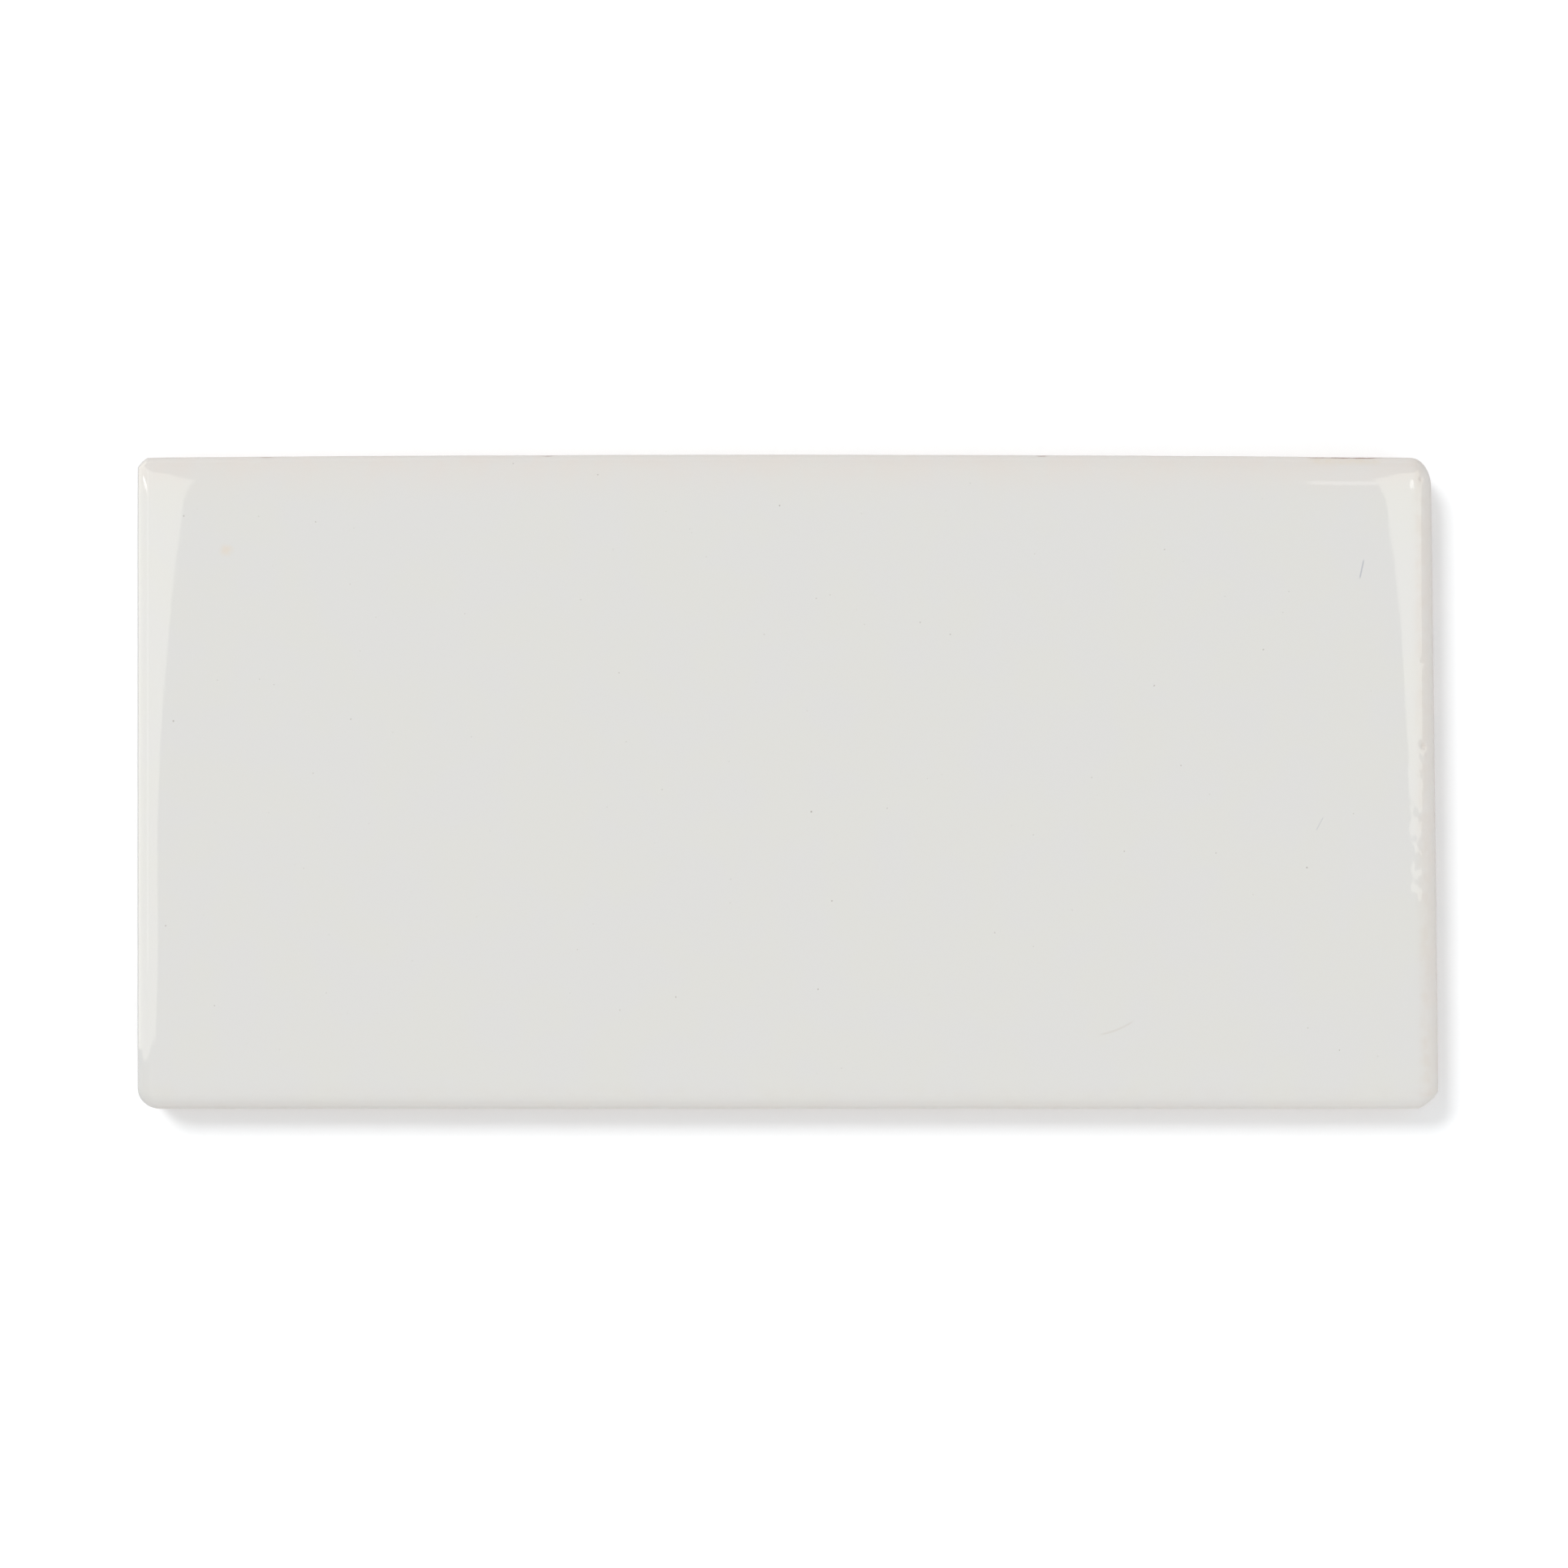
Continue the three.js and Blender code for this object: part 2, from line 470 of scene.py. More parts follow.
def groove_cut(y):
    """How deep the keying grooves are at a place across the tile, with softened shoulders."""
    places = (np.arange(GROOVES) - (GROOVES - 1) / 2) * GROOVE_PITCH
    nearest = np.min(abs(y[:, None] - places), axis=1)
    slope = (GROOVE_MOUTH / 2 - nearest) / ((GROOVE_MOUTH - GROOVE_ROOT) / 2)
    eased = np.clip(slope, 0, 1)
    return GROOVE_DEPTH * eased * eased * (3 - 2 * eased)


def body_extent(y):
    """The clay body's left and right ends at a place across it."""
    ends = []
    half = HALF_WIDTH - BODY_DEPTH
    for side_x in (-1, 1):
        reach = np.zeros(len(y))
        for (corner_x, corner_y), (reach_x, reach_y), power in CORNERS:
            if corner_x != side_x:
                continue
            long_x, long_y = reach_x - BODY_DEPTH, reach_y - BODY_DEPTH
            into = np.clip((corner_y * y - (half - long_y)) / long_y, 0, 1)
            reach += long_x * (1 - (1 - into**power) ** (1 / power))
        ends.append(side_x * (HALF_LENGTH - BODY_DEPTH - reach))
    return ends


def body_sheet(rows, columns, height):
    """A grid of points over the body's plan, `height` giving Z from each point's X and Y."""
    left, right = body_extent(rows)
    x = left[:, None] + (right - left)[:, None] * columns[None, :]
    y = np.broadcast_to(rows[:, None], x.shape)
    flat = np.column_stack([x.ravel(), y.ravel()])
    return np.column_stack([flat, height(flat)])


def corner_gap(gaps, reach, power):
    """How far inside a corner's rounding places lie, from their gaps to the two walls it joins."""
    low, high = np.zeros(len(gaps[0])), np.minimum(*gaps)
    for _ in range(HALVINGS):
        inset = (low + high) / 2
        out = 0
        for gap, length in zip(gaps, reach):
            radius = np.maximum(length - BODY_DEPTH - inset, SHARPEST_CORNER)
            out = out + np.clip(1 - (gap - inset) / radius, 0, 1) ** power
        low = np.where(out > 1, low, inset)
        high = np.where(out > 1, inset, high)
    return low


def plan_gap(flat):
    """How far inside the body's side wall each place in its plan lies."""
    gap_x = HALF_LENGTH - BODY_DEPTH - abs(flat[:, 0])
    gap_y = HALF_WIDTH - BODY_DEPTH - abs(flat[:, 1])
    gap = np.zeros(len(flat))
    for (side_x, side_y), reach, power in CORNERS:
        here = (side_x * flat[:, 0] >= 0) & (side_y * flat[:, 1] >= 0)
        gap[here] = corner_gap((gap_x[here], gap_y[here]), reach, power)
    return gap


def body_top(flat):
    """The height of the body's pressed face and rolled edge."""
    radius = EDGE_ROLL - BODY_DEPTH
    short = np.clip(1 - plan_gap(flat) / radius, 0, 1)
    drop = radius * (1 - np.sqrt(1 - short**2))
    return TOP - BODY_DEPTH - drop - cushion(flat[:, 0], flat[:, 1], BODY_DEPTH)


def body_back(flat):
    """The height of the body's back, with its grooves and chamfer."""
    chamfer = np.clip(BACK_CHAMFER - plan_gap(flat), 0, BACK_CHAMFER)
    return np.maximum(groove_cut(flat[:, 1]), chamfer)


def rim_of(count_rows, count_columns):
    """The point numbers round the edge of a grid, anticlockwise from its near left corner."""
    grid = np.arange(count_rows * count_columns).reshape(count_rows, count_columns)
    return np.concatenate([grid[0], grid[1:, -1], grid[-1, -2::-1], grid[-2:0:-1, 0]])


def grid_faces(count_rows, count_columns, offset, up):
    """The quads of a grid, facing up or down."""
    faces = []
    for row in range(count_rows - 1):
        for column in range(count_columns - 1):
            a = offset + row * count_columns + column
            c = a + count_columns + 1
            quad = (a, a + 1, c, c - 1)
            faces.append(quad if up else quad[::-1])
    return faces


def roughen(piece):
    """Gives the body a pitted skin where it shows, below the glaze."""
    points = points_of(piece)[0]
    skin = 0.05 * ripple(points, 6, 2.5) + 0.03 * ripple(points, 1.3, 4.1)
    pits = np.clip(ripple(points, 2.1, 9.7) - 0.35, 0, 1) * 0.16
    in_sight = points[:, 2] < GLAZE_HEM
    push(piece, -(np.abs(skin) + pits) * in_sight)


def make_body():
    """The bisque clay: a pressed slab with softened keying grooves and a slightly rough skin."""
    half = HALF_WIDTH - BODY_DEPTH
    rows = spaced(-half, half, *ROW_SPACING)
    across = spaced(0, 2 * HALF_LENGTH, *COLUMN_SPACING) / (2 * HALF_LENGTH)
    size = (len(rows), len(across))
    back = body_sheet(rows, across, body_back)
    top = body_sheet(rows, across, body_top)
    rim = rim_of(*size)
    sheet = len(back)
    shares = np.arange(1, BODY_SIDE_STEPS) / BODY_SIDE_STEPS
    bands = [back[rim] * (1 - share) + top[rim] * share for share in shares]
    points = np.concatenate([back, top] + bands)
    faces = grid_faces(*size, 0, False) + grid_faces(*size, sheet, True)
    starts = [2 * sheet + index * len(rim) for index in range(len(bands))]
    loops = [rim] + [np.arange(start, start + len(rim)) for start in starts] + [rim + sheet]
    for lower, upper in zip(loops, loops[1:]):
        faces += [tuple(int(i) for i in face) for face in bridge(lower, upper)]
    piece = make_mesh("tile_body", fired(points), faces)
    roughen(piece)
    return piece


# ---------------------------------------------------------------- specks in the glaze

# Dark iron specks: place on the face, size across and how dark, from 0 to 1.
SPECKS = [
    (2.7, -3.5, 0.29, 0.54), (-1.0, 32.2, 0.26, 0.36), (15.4, 18.6, 0.22, 0.30),
    (18.9, 17.2, 0.20, 0.24), (43.9, 27.1, 0.22, 0.30), (55.4, 15.4, 0.24, 0.36),
    (42.7, 11.2, 0.26, 0.24), (5.1, -13.9, 0.26, 0.36), (39.2, -8.1, 0.22, 0.30),
    (60.5, -10.0, 0.26, 0.36), (45.8, 1.9, 0.20, 0.24), (35.4, 0.5, 0.19, 0.24),
    (49.9, -8.3, 0.20, 0.24), (28.6, -6.2, 0.19, 0.18), (24.1, -17.6, 0.20, 0.24),
    (28.6, -19.2, 0.19, 0.18), (3.5, -24.2, 0.24, 0.36), (-13.1, -25.1, 0.22, 0.30),
    (60.6, -28.7, 0.20, 0.24), (64.3, -31.3, 0.20, 0.30), (-51.0, 7.3, 0.24, 0.30),
    (-55.4, 1.0, 0.19, 0.18), (-56.5, -10.1, 0.19, 0.18), (-71.7, 7.1, 0.26, 0.36),
    (-72.6, -16.8, 0.22, 0.30), (-66.9, -26.1, 0.22, 0.24), (-37.7, 19.6, 0.20, 0.18),
    (-19.7, 12.7, 0.20, 0.24), (3.3, 21.4, 0.19, 0.24), (4.9, 21.8, 0.19, 0.18),
    (-2.8, 17.2, 0.19, 0.18), (-55.1, 30.3, 0.22, 0.30), (-70.5, 31.0, 0.24, 0.30),
    (58.4, 22.2, 0.19, 0.18), (-22.2, 35.8, 0.22, 0.30), (-32.1, 37.1, 0.20, 0.36),
]
FAINT_SPECKS = 90
SPECK_SIDES = 9
SPECK_RINGS = [  # upwards: a share of the speck's radius, and a height over the glaze
    (0.0, -0.035),
    (0.6, -0.030),
    (1.0, -0.004),
    (0.6, 0.009),
    (0.0, 0.012),
]


def speck_places(generator):
    """The specks above, and a fainter scatter that fills in between them."""
    places = list(SPECKS)
    for _ in range(FAINT_SPECKS):
        x = generator.uniform(-HALF_LENGTH + 4, HALF_LENGTH - 4)
        y = generator.uniform(-HALF_WIDTH + 3, HALF_WIDTH - 3)
        places.append((x, y, generator.uniform(0.1, 0.2), generator.uniform(0.05, 0.2)))
    return places


def speck_rings(x, y, top, size, generator):
    """One flat grain of uneven outline, its upper half just proud of the glaze."""
    wobble = np.array([generator.uniform(0.7, 1.15) for _ in range(SPECK_SIDES)])
    rings = []
    for reach, height in SPECK_RINGS:
        if reach == 0:
            rings.append(pole(top + height, x, y))
        else:
            rings.append(circle(x, y, top + height, reach * size / 2 * wobble, SPECK_SIDES))
    return rings


def make_specks(glaze):
    """Iron grains that melted out at the face, in one piece, each set on the glaze's surface."""
    generator = random.Random(SEED)
    points, faces, darkness = [], [], []
    for x, y, size, dark in speck_places(generator):
        above = Vector((x, y, TOP + 5)) * MM
        hit, place, _, _ = glaze.ray_cast(above, Vector((0, 0, -1)))
        if not hit:
            continue
        rings = speck_rings(x, y, place.z / MM, size, generator)
        faces += ring_faces(rings, len(darkness))
        points += rings
        darkness += [dark] * sum(len(ring) for ring in rings)
    piece = make_mesh("iron_specks", np.concatenate(points), faces)
    set_attribute(piece, "dark", darkness)
    return piece


# ---------------------------------------------------------------- materials

class Shader:
    """A material's node tree, with short calls for adding nodes and sums."""

    def __init__(self, name):
        self.material = bpy.data.materials.new(name)
        self.material.use_nodes = True
        self.tree = self.material.node_tree
        self.surface = self.tree.nodes["Principled BSDF"]
        place = self.add("ShaderNodeTexCoord").outputs["Object"]
        self.place = self.scaled(place, 1 / MM)

    def feed(self, socket, value):
        if isinstance(value, bpy.types.NodeSocket):
            self.tree.links.new(value, socket)
        else:
            socket.default_value = value

    def add(self, kind, inputs=(), **settings):
        """A node of that kind, with its settings and its inputs by name or number."""
        made = self.tree.nodes.new(kind)
        for key, value in settings.items():
            setattr(made, key, value)
        for key, value in dict(inputs).items():
            self.feed(made.inputs[key], value)
        return made

    def math(self, operation, first, second=0.0, clamp=False):
        inputs = {0: first, 1: second}
        return self.add("ShaderNodeMath", inputs, operation=operation, use_clamp=clamp).outputs[0]

    def scaled(self, vector, scale):
        inputs = {"Vector": vector, "Scale": scale}
        return self.add("ShaderNodeVectorMath", inputs, operation="SCALE").outputs["Vector"]

    def from_point(self, point):
        """The way from a point on the tile, in millimetres, to the place being shaded."""
        inputs = {0: self.place, 1: point}
        return self.add("ShaderNodeVectorMath", inputs, operation="SUBTRACT").outputs["Vector"]

    def length(self, vector):
        return self.add("ShaderNodeVectorMath", {0: vector}, operation="LENGTH").outputs["Value"]

    def noise(self, size, detail=2.0, distortion=0.0):
        """Noise from 0 to 1 whose features are about `size` millimetres across."""
        inputs = {"Vector": self.place, "Scale": 1 / size, "Detail": detail, "Distortion": distortion}
        return self.add("ShaderNodeTexNoise", inputs).outputs["Fac"]

    def spread(self, value, low, high, to_low=0.0, to_high=1.0):
        """Value from low to high, drawn out smoothly to to_low to to_high."""
        inputs = {"Value": value, "From Min": low, "From Max": high, "To Min": to_low, "To Max": to_high}
        return self.add("ShaderNodeMapRange", inputs, interpolation_type="SMOOTHSTEP").outputs["Result"]

    def mix(self, share, first, second):
        """A colour mix, each colour a socket or red, green and blue."""
        made = self.add("ShaderNodeMix", data_type="RGBA")
        self.feed(made.inputs[0], share)
        colours = [c if isinstance(c, bpy.types.NodeSocket) else (*c, 1) for c in (first, second)]
        self.feed(made.inputs[6], colours[0])
        self.feed(made.inputs[7], colours[1])
        return made.outputs[2]

    def attribute(self, name):
        return self.add("ShaderNodeAttribute", attribute_name=name).outputs["Fac"]

    def bump(self, height, depth, below=None):
        """A bump whose height, from 0 to 1, stands for `depth` millimetres."""
        inputs = {"Height": height, "Distance": depth * MM}
        if below:
            inputs["Normal"] = below
        return self.add("ShaderNodeBump", inputs).outputs["Normal"]

    def finish(self, colour, roughness, normal=None, glow=0.0):
        inputs = {"Base Color": colour, "Roughness": roughness, "IOR": 1.5}
        inputs |= {"Emission Color": (1, 1, 1, 1), "Emission Strength": glow}
        if normal:
            inputs["Normal"] = normal
        for key, value in inputs.items():
            self.feed(self.surface.inputs[key], value)
        return self.material


def streak(shader, centre, length, width, angle, curl=0.0):
    """1 along a short mark on the face and 0 off it: its middle, size, turn in degrees and curve."""
    turn = math.radians(angle)
    parts = shader.add("ShaderNodeSeparateXYZ", {0: shader.from_point((*centre, TOP))}).outputs
    along_x = shader.math("MULTIPLY", parts["X"], math.cos(turn))
    along = shader.math("ADD", along_x, shader.math("MULTIPLY", parts["Y"], math.sin(turn)))
    across_x = shader.math("MULTIPLY", parts["X"], -math.sin(turn))
    across = shader.math("ADD", across_x, shader.math("MULTIPLY", parts["Y"], math.cos(turn)))
    bend = shader.math("MULTIPLY", shader.math("MULTIPLY", along, along), curl)
    across = shader.math("ABSOLUTE", shader.math("SUBTRACT", across, bend))
    in_length = shader.spread(shader.math("ABSOLUTE", along), length * 0.3, length * 0.5, 1, 0)
    in_width = shader.spread(across, width * 0.25, width * 0.6, 1, 0)
    return shader.math("MULTIPLY", in_length, in_width)


def blot(shader, centre, radius):
    """1 at the middle of a small stain, fading to 0 at its uneven margin."""
    distance = shader.length(shader.from_point((*centre, TOP)))
    ragged = shader.math("MULTIPLY", shader.noise(0.9, 3), radius)
    return shader.spread(shader.math("ADD", distance, ragged), radius * 0.6, radius * 1.6, 1, 0)


# Colours, as linear red, green and blue.
GLAZE_WHITE = (0.736, 0.732, 0.700)
GLAZE_COOL = (0.733, 0.729, 0.711)
GLAZE_THIN = (0.755, 0.707, 0.664)
# Clay through the glaze at the arris, also used as painted shade on the steep edges.
CLAY_THROUGH_AND_SHADE = (0.610, 0.490, 0.390)
CLAY_SHOWING = (0.260, 0.130, 0.090)
CRAWLED = (0.745, 0.680, 0.600)
STAIN = (0.780, 0.640, 0.480)
METAL_MARK = (0.330, 0.350, 0.420)
SCRATCH = (0.500, 0.420, 0.340)
ENGOBE_WARM = (0.74, 0.69, 0.61)
ENGOBE_PALE = (0.86, 0.83, 0.77)
BISQUE_DARK = (0.55, 0.36, 0.25)
BISQUE_PALE = (0.68, 0.49, 0.36)
CLAY_DUST = (0.78, 0.66, 0.55)
GROG = (0.30, 0.17, 0.11)
IRON_BLACK = (0.10, 0.075, 0.06)
IRON_RUST = (0.20, 0.13, 0.09)
PAPER_DARK = (0.782, 0.797, 0.812)
PAPER_PALE = (0.788, 0.803, 0.818)


STAIN_CENTRE = (-65.5, 27.1)
STAIN_RADIUS = 0.95
MARKS = [  # middle, length, width, angle in degrees, curve, strength and colour
    ((66.9, 24.8), 2.6, 0.20, 78, 0, 0.50, METAL_MARK),
    ((62.0, -4.9), 2.0, 0.16, 62, 0, 0.25, METAL_MARK),
    ((38.4, -28.9), 4.8, 0.26, 22, 0.05, 0.18, SCRATCH),
]
GROG_SPACING = 0.9


def glaze_edges(shader, colour):
    """The glaze's colour where it thins towards its edges, crawls back or is chipped, with painted shade
    on its steep outer edges and along the right roll.
    """
    ragged = shader.spread(shader.noise(2.6, 4), 0.3, 0.7, 0.55, 1.0)
    colour = shader.mix(shader.math("MULTIPLY", shader.attribute("thin"), ragged), colour, GLAZE_THIN)
    # Noise that breaks up the rim mask, which mixes in clay colour at the arris and painted shade on the
    # steep right, far and near edges and along the right roll.
    broken_shade = shader.spread(shader.noise(1.8, 4), 0.35, 0.65, 0.35, 1.0)
    rim = shader.math("MULTIPLY", shader.attribute("rim"), broken_shade)
    colour = shader.mix(rim, colour, CLAY_THROUGH_AND_SHADE)
    crawled = shader.spread(shader.noise(0.7, 4), 0.3, 0.7, 0.35, 0.9)
    patch = shader.math("MULTIPLY", shader.attribute("patch"), crawled)
    colour = shader.mix(patch, colour, CRAWLED)
    return shader.mix(shader.attribute("bare"), colour, CLAY_SHOWING)


def glaze_marks(shader, colour):
    """A faint stain, two metal marks and a curved scratch on the face."""
    stain = shader.math("MULTIPLY", blot(shader, STAIN_CENTRE, STAIN_RADIUS), 0.4)
    colour = shader.mix(stain, colour, STAIN)
    for centre, length, width, angle, curve, strength, tone in MARKS:
        mark = streak(shader, centre, length, width, angle, curve)
        colour = shader.mix(shader.math("MULTIPLY", mark, strength), colour, tone)
    return colour


def glaze_material():
    """Glossy off-white glaze, warmer where it thins over the edges, with painted shade on its steep outer
    edges and a few marks of use.
    """
    shader = Shader("glaze")
    mottle = shader.spread(shader.noise(7, 3), 0.35, 0.65)
    colour = shader.mix(mottle, GLAZE_WHITE, GLAZE_COOL)
    colour = glaze_edges(shader, glaze_marks(shader, colour))
    dry = shader.math("MAXIMUM", shader.attribute("dry"), shader.attribute("bare"))
    glassy = shader.spread(shader.noise(5, 4), 0.3, 0.7, 0.025, 0.045)
    roughness = shader.math("ADD", glassy, shader.math("MULTIPLY", dry, 0.4))
    gloss = shader.spread(dry, 0.0, 1.0, 0.5, 0.2)
    shader.feed(shader.surface.inputs["Specular IOR Level"], gloss)
    peel = shader.bump(shader.noise(1.5, 1), 0.0012)
    fine = shader.bump(shader.noise(0.35, 2), 0.0002, peel)
    return shader.finish(colour, roughness, fine)


def engobe_material():
    """Matt white slip, slightly chalky."""
    shader = Shader("engobe")
    colour = shader.mix(shader.noise(1.8, 4), ENGOBE_WARM, ENGOBE_PALE)
    roughness = shader.spread(shader.noise(0.8, 3), 0.3, 0.7, 0.62, 0.8)
    return shader.finish(colour, roughness, shader.bump(shader.noise(0.25, 4), 0.02))


def bisque_material():
    """Pink-buff fired clay with paler dust, darker grog and fine pores."""
    shader = Shader("bisque")
    colour = shader.mix(shader.noise(16, 4), BISQUE_DARK, BISQUE_PALE)
    dust = shader.spread(shader.noise(3.2, 5), 0.45, 0.8, 0, 0.5)
    colour = shader.mix(dust, colour, CLAY_DUST)
    grains = shader.add("ShaderNodeTexVoronoi", {"Vector": shader.place, "Scale": 1 / GROG_SPACING})
    grog = shader.spread(grains.outputs["Distance"], 0.06, 0.2, 0.55, 0)
    colour = shader.mix(grog, colour, GROG)
    roughness = shader.spread(shader.noise(2.0, 3), 0.3, 0.7, 0.82, 0.95)
    coarse = shader.bump(shader.noise(1.1, 5), 0.07)
    pores = shader.bump(shader.noise(0.22, 3), 0.03, coarse)
    return shader.finish(colour, roughness, pores)


def speck_material():
    """Iron grains, from rust brown to near black, the fainter ones veiled by glaze."""
    shader = Shader("iron_specks")
    dark = shader.mix(shader.noise(0.3, 2), IRON_BLACK, IRON_RUST)
    colour = shader.mix(shader.attribute("dark"), GLAZE_WHITE, dark)
    return shader.finish(colour, 0.16, shader.bump(shader.noise(0.08, 2), 0.004))


def floor_material():
    """Plain white paper, lit a little beyond white."""
    shader = Shader("studio_floor")
    colour = shader.mix(shader.noise(40, 2), PAPER_DARK, PAPER_PALE)
    return shader.finish(colour, 0.9, shader.bump(shader.noise(1.0, 2), 0.002))


def haze_material():
    """Clear, with a glow that lifts the floor behind it, the more so away from the tile."""
    shader = Shader("studio_haze")
    clear = shader.add("ShaderNodeBsdfTransparent").outputs["BSDF"]
    strength = shader.spread(shader.length(shader.place), 150, 600, FLOOR_GLOW, FAR_FLOOR_GLOW)
    glow = shader.add("ShaderNodeEmission", {"Strength": strength}).outputs["Emission"]
    both = shader.add("ShaderNodeAddShader", {0: clear, 1: glow}).outputs["Shader"]
    shader.feed(shader.tree.nodes["Material Output"].inputs["Surface"], both)
    return shader.material


def backdrop_material():
    """A white surround that only the camera sees."""
    return Shader("studio_backdrop").finish(UNLIT, 1.0, glow=BACKDROP_GLOW)


# ---------------------------------------------------------------- studio

FLOOR_GLOW = 0.265  # by the tile, from where it rises to FAR_FLOOR_GLOW
FAR_FLOOR_GLOW = 1.0
BACKDROP_GLOW = 1.02
WORLD_GLOW = 0.56
LEFT_GLOW = 2.2
RIGHT_GLOW = 2.3
SOFTBOX_TINT = (1, 0.98, 0.88, 1)
UNLIT = (0, 0, 0, 1)
STUDIO_RADIUS = 3000
STUDIO_SIDES = 96
FLOOR_HEIGHT = -0.06  # just clear of the tile's back
HAZE_HEIGHT = -0.03
BACKDROP_HEIGHT = -1
BACKDROP_RISE = 0.6  # of the studio's radius


def disc_rings(radius, rim_height, bulge=0):
    """Rings of a disc, or of a dome that rises by `bulge` towards its middle."""
    rings = []
    for share in (1, 0.75, 0.5, 0.25, 0.05):
        height = rim_height + bulge * math.sqrt(1 - share**2)
        rings.append(circle(0, 0, height, radius * share, STUDIO_SIDES))
    return rings + [pole(rim_height + bulge)]


def make_sheet(name, rings, material):
    """An open sheet of the studio, such as its floor."""
    piece = make_mesh(name, np.concatenate(rings), ring_faces(rings))
    piece.data.materials.append(material)
    return piece


def only_for_camera(piece):
    """Keeps a piece of the studio out of the tile's light and reflections."""
    piece.visible_diffuse = False
    piece.visible_glossy = False
    piece.visible_transmission = False
    piece.visible_shadow = False


def make_studio():
    """The floor, a haze that lifts it to white, and a surround as white for low views."""
    make_sheet("studio_floor", disc_rings(STUDIO_RADIUS, FLOOR_HEIGHT), floor_material())
    haze = disc_rings(STUDIO_RADIUS, HAZE_HEIGHT)
    only_for_camera(make_sheet("studio_haze", haze, haze_material()))
    dome = disc_rings(STUDIO_RADIUS, BACKDROP_HEIGHT, STUDIO_RADIUS * BACKDROP_RISE)
    only_for_camera(make_sheet("studio_backdrop", dome, backdrop_material()))


def area_light(name, corner, along, across, radiance, seen_by):
    """A rectangular light from one corner and its two sides, for "gloss" or for "diffuse" only."""
    corner, along, across = (Vector(v) * MM for v in (corner, along, across))
    centre = corner + (along + across) / 2
    x_axis, y_axis = along.normalized(), across.normalized()
    z_axis = x_axis.cross(y_axis)
    if z_axis.dot(centre) < 0:
        x_axis, z_axis = -x_axis, -z_axis
    data = bpy.data.lights.new(name, "AREA")
    data.shape = "RECTANGLE"
    data.size, data.size_y = along.length, across.length
    data.energy = radiance * math.pi * along.length * across.length
    light = bpy.data.objects.new(name, data)
    rotation = Matrix((x_axis, y_axis, z_axis)).transposed().to_4x4()
    light.matrix_world = Matrix.Translation(centre) @ rotation
    light.visible_glossy = seen_by == "gloss"
    light.visible_diffuse = seen_by == "diffuse"
    bpy.context.scene.collection.objects.link(light)


# The two softboxes, as rows of points across each one, from its far end to its near end. The
# left one reaches down to the floor and back towards the tile, so that the whole roll mirrors it.
LEFT_SOFTBOX = [
    ((-162, 144, 600), (-640, 470, 0), (-86, 90, 0)),
    ((-176, 66, 600), (-720, 240, 0), (-86, 33, 0)),
    ((-196, 38, 600), (-750, 130, 0), (-86, 18, 0)),
    ((-223, 9, 600), (-770, 40, 0), (-86, 4, 0)),
    ((-234, -11, 600), (-775, -12, 0), (-86, -5, 0)),
    ((-232, -43, 600), (-775, -48, 0), (-86, -21, 0)),
    ((-238, -60, 600), (-775, -66, 0), (-86, -28, 0)),
    ((-244, -72, 600), (-775, -80, 0), (-86, -31, 0)),
    ((-300, -76, 600), (-775, -83, 0), (-86, -32, 0)),
]
RIGHT_SOFTBOX = [
    ((160, 150, 600), (640, 500, 330)),
    ((176, 66, 600), (620, 150, 400)),
    ((196, 38, 600), (480, 46, 560)),
    ((210, 9, 600), (420, 8, 600)),
    ((214, -11, 600), (248, -11, 600)),
    ((222, -31, 600), (243, -31, 600)),
]


def softbox(name, rows, glow):
    """A glowing sheet of any outline, which only reflections see."""
    across = len(rows[0])
    points = np.array([point for row in rows for point in row], dtype=float)
    faces = grid_faces(len(rows), across, 0, True)
    piece = make_mesh(name, points, faces)
    shader = Shader(name)
    piece.data.materials.append(shader.finish(UNLIT, 1.0, glow=glow))
    shader.feed(shader.surface.inputs["Emission Color"], SOFTBOX_TINT)
    piece.visible_camera = False
    piece.visible_diffuse = False
    piece.visible_shadow = False


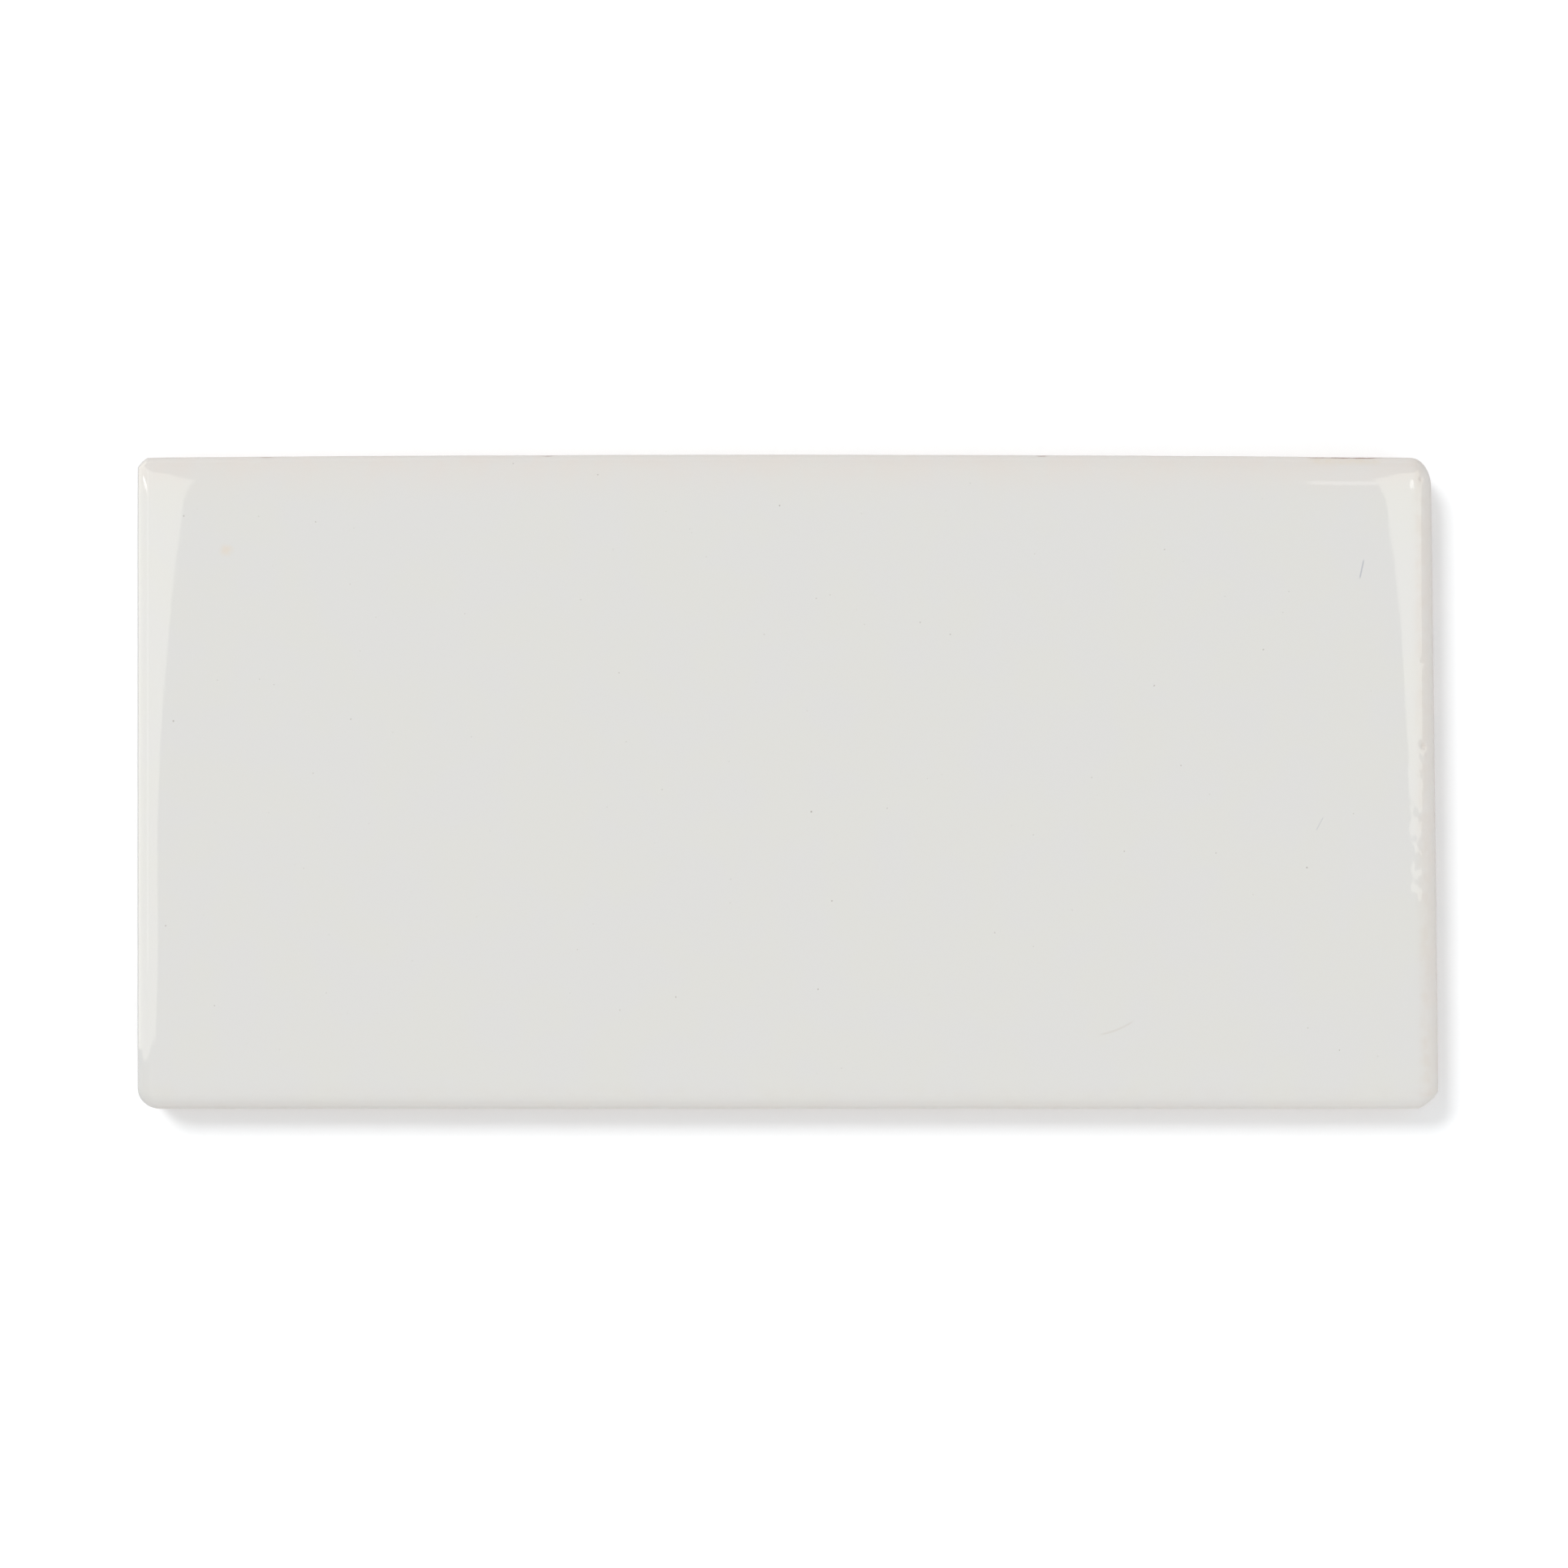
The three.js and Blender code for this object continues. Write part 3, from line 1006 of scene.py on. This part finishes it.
# Area lights: a name, a corner, its two sides, a radiance and what sees it. The first four put the
# small highlights on the far edge, two corners and the left roll. The key throws the shadow, and
# the fill stands low at the near right.
AREA_LIGHTS = [
    ("bright_edge", (133, 127, 600), (30, 2, 0), (0, 12, 0), 1.7, "gloss"),
    ("bright_corner", (205, 108, 500), (14, 0, 0), (0, 24, 0), 3.8, "gloss"),
    ("bright_tip", (-307, 66, 195), (-62, 10, -150), (0, 6, 0), 5.5, "gloss"),
    ("bright_core", (-362, -40, 340), (0, 270, 0), (-42, 0, -42), 1.2, "gloss"),
    ("key", (-1632, 800, 3000), (920, 0, 0), (0, 880, 0), 24.9, "diffuse"),
    ("fill", (250, -760, 60), (400, 360, 0), (60, -60, 400), 2.6, "diffuse"),
]


def make_lights():
    """Two softboxes for the rolled ends to mirror, the area lights above and an even surround."""
    softbox("left_softbox", LEFT_SOFTBOX, LEFT_GLOW)
    softbox("right_softbox", RIGHT_SOFTBOX, RIGHT_GLOW)
    for light in AREA_LIGHTS:
        area_light(*light)
    world = bpy.data.worlds.new("studio")
    world.use_nodes = True
    background = world.node_tree.nodes["Background"]
    background.inputs["Color"].default_value = (1, 1, 1, 1)
    background.inputs["Strength"].default_value = WORLD_GLOW
    bpy.context.scene.world = world


# The camera looks straight down on a view that is FRAME_WIDTH wide at the height of the arris.
LENS = 100
SENSOR = 36
FRAME_WIDTH = 183.7
CAMERA_X = -0.48
CAMERA_Y = -0.26


def make_camera():
    data = bpy.data.cameras.new("camera")
    data.lens = LENS
    data.sensor_width = SENSOR
    data.clip_start = 0.01
    data.clip_end = 20
    camera = bpy.data.objects.new("camera", data)
    camera.location = Vector((CAMERA_X, CAMERA_Y, ARRIS + FRAME_WIDTH * LENS / SENSOR)) * MM
    bpy.context.scene.collection.objects.link(camera)
    bpy.context.scene.camera = camera


# ---------------------------------------------------------------- assembly

def dress(piece, material, slot, *nodes):
    """Gives a piece its material and its CAD body, and what it stands for. The slot is not used."""
    piece.data.materials.append(material)
    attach(piece, "root")
    if nodes:
        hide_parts(*nodes)


bpy.context.scene.view_settings.view_transform = "Standard"
glaze = make_glaze()
dress(glaze, glaze_material(), "glaze", "glaze_coat")
dress(make_engobe(), engobe_material(), "engobe", "engobe_coat")
dress(make_body(), bisque_material(), "bisque", "clay_body")
dress(make_specks(glaze), speck_material(), "glaze")
make_studio()
make_lights()
make_camera()
